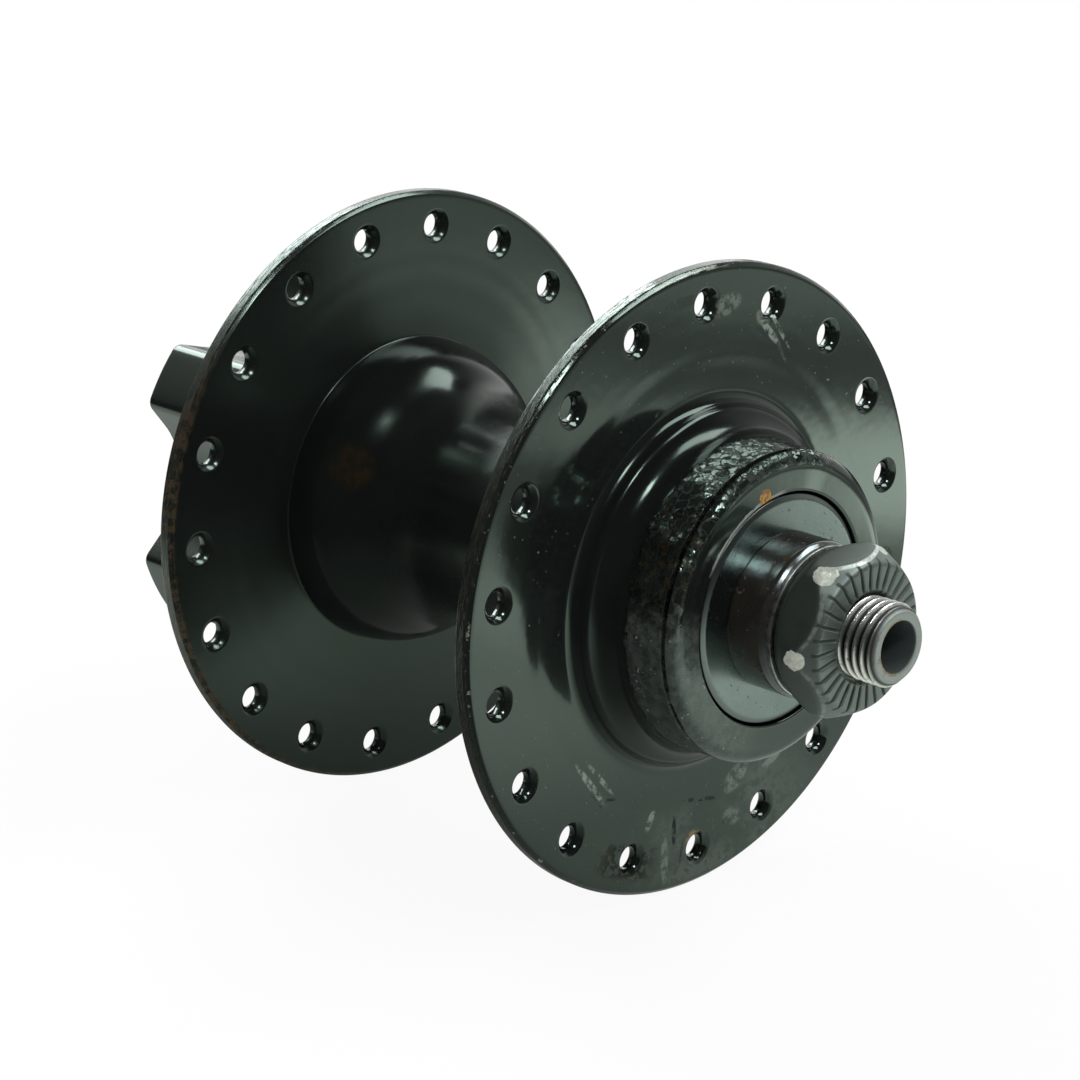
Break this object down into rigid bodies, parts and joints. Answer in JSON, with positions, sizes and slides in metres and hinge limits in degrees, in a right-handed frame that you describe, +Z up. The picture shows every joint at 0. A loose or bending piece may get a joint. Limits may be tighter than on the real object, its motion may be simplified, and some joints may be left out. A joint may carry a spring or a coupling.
{
  "type": "bicycle front hub",
  "caption": "Front wheel hub with two drilled spoke flanges, a lobed brake disc mount and cup-and-cone bearings on a hollow threaded axle.",
  "frame": {"origin": "on the hub axis, midway between the two lock-nut faces, which is the centre of the bounding box", "axes": "+Y along the hub axis towards the brake disc side, which is the rider's left; +Z up; +X forwards"},
  "size_m": [0.0704, 0.108, 0.0706],
  "materials": {
    "black_shell_paint": "gloss black over forged aluminium",
    "axle_steel": "worn grey threaded steel",
    "black_oxide_steel": "black oxide, worn bright at the corners",
    "spacer_steel": "polished dark oxide",
    "washer_steel": "plain zinc",
    "shield_steel": "satin blue-grey",
    "bearing_steel": "ground and polished",
    "seal_rubber": "matt"
  },
  "bodies": {
    "axle_set": {"axle": "axle_steel", "right_locknut": "black_oxide_steel", "left_locknut": "black_oxide_steel", "right_washer": "washer_steel", "left_washer": "washer_steel", "right_spacer": "spacer_steel", "right_cone": "bearing_steel", "left_cone": "bearing_steel", "right_dust_shield": "shield_steel", "left_dust_shield": "shield_steel", "right_lip_seal": "seal_rubber", "left_lip_seal": "seal_rubber"},
    "shell": {"hub_shell": "black_shell_paint", "right_bearing_cup": "bearing_steel", "left_bearing_cup": "bearing_steel", "right_dust_cap": "black_shell_paint", "left_dust_cap": "black_shell_paint"},
    "right_balls": {"right_bearing_balls": "bearing_steel"},
    "left_balls": {"left_bearing_balls": "bearing_steel"}
  },
  "joints": [
    {"name": "shell_spin", "type": "hinge", "parent": "axle_set", "child": "shell", "pos_m": [0, 0, 0], "axis": [0, 1, 0], "continuous": true},
    {"name": "right_ball_orbit", "type": "hinge", "parent": "axle_set", "child": "right_balls", "pos_m": [0, -0.0312, 0], "axis": [0, 1, 0], "continuous": true},
    {"name": "left_ball_orbit", "type": "hinge", "parent": "axle_set", "child": "left_balls", "pos_m": [0, 0.03443, 0], "axis": [0, 1, 0], "continuous": true}
  ],
  "couplings": [
    {"joint": "right_ball_orbit", "follows": "shell_spin", "ratio": 0.614},
    {"joint": "left_ball_orbit", "follows": "shell_spin", "ratio": 0.614}
  ]
}
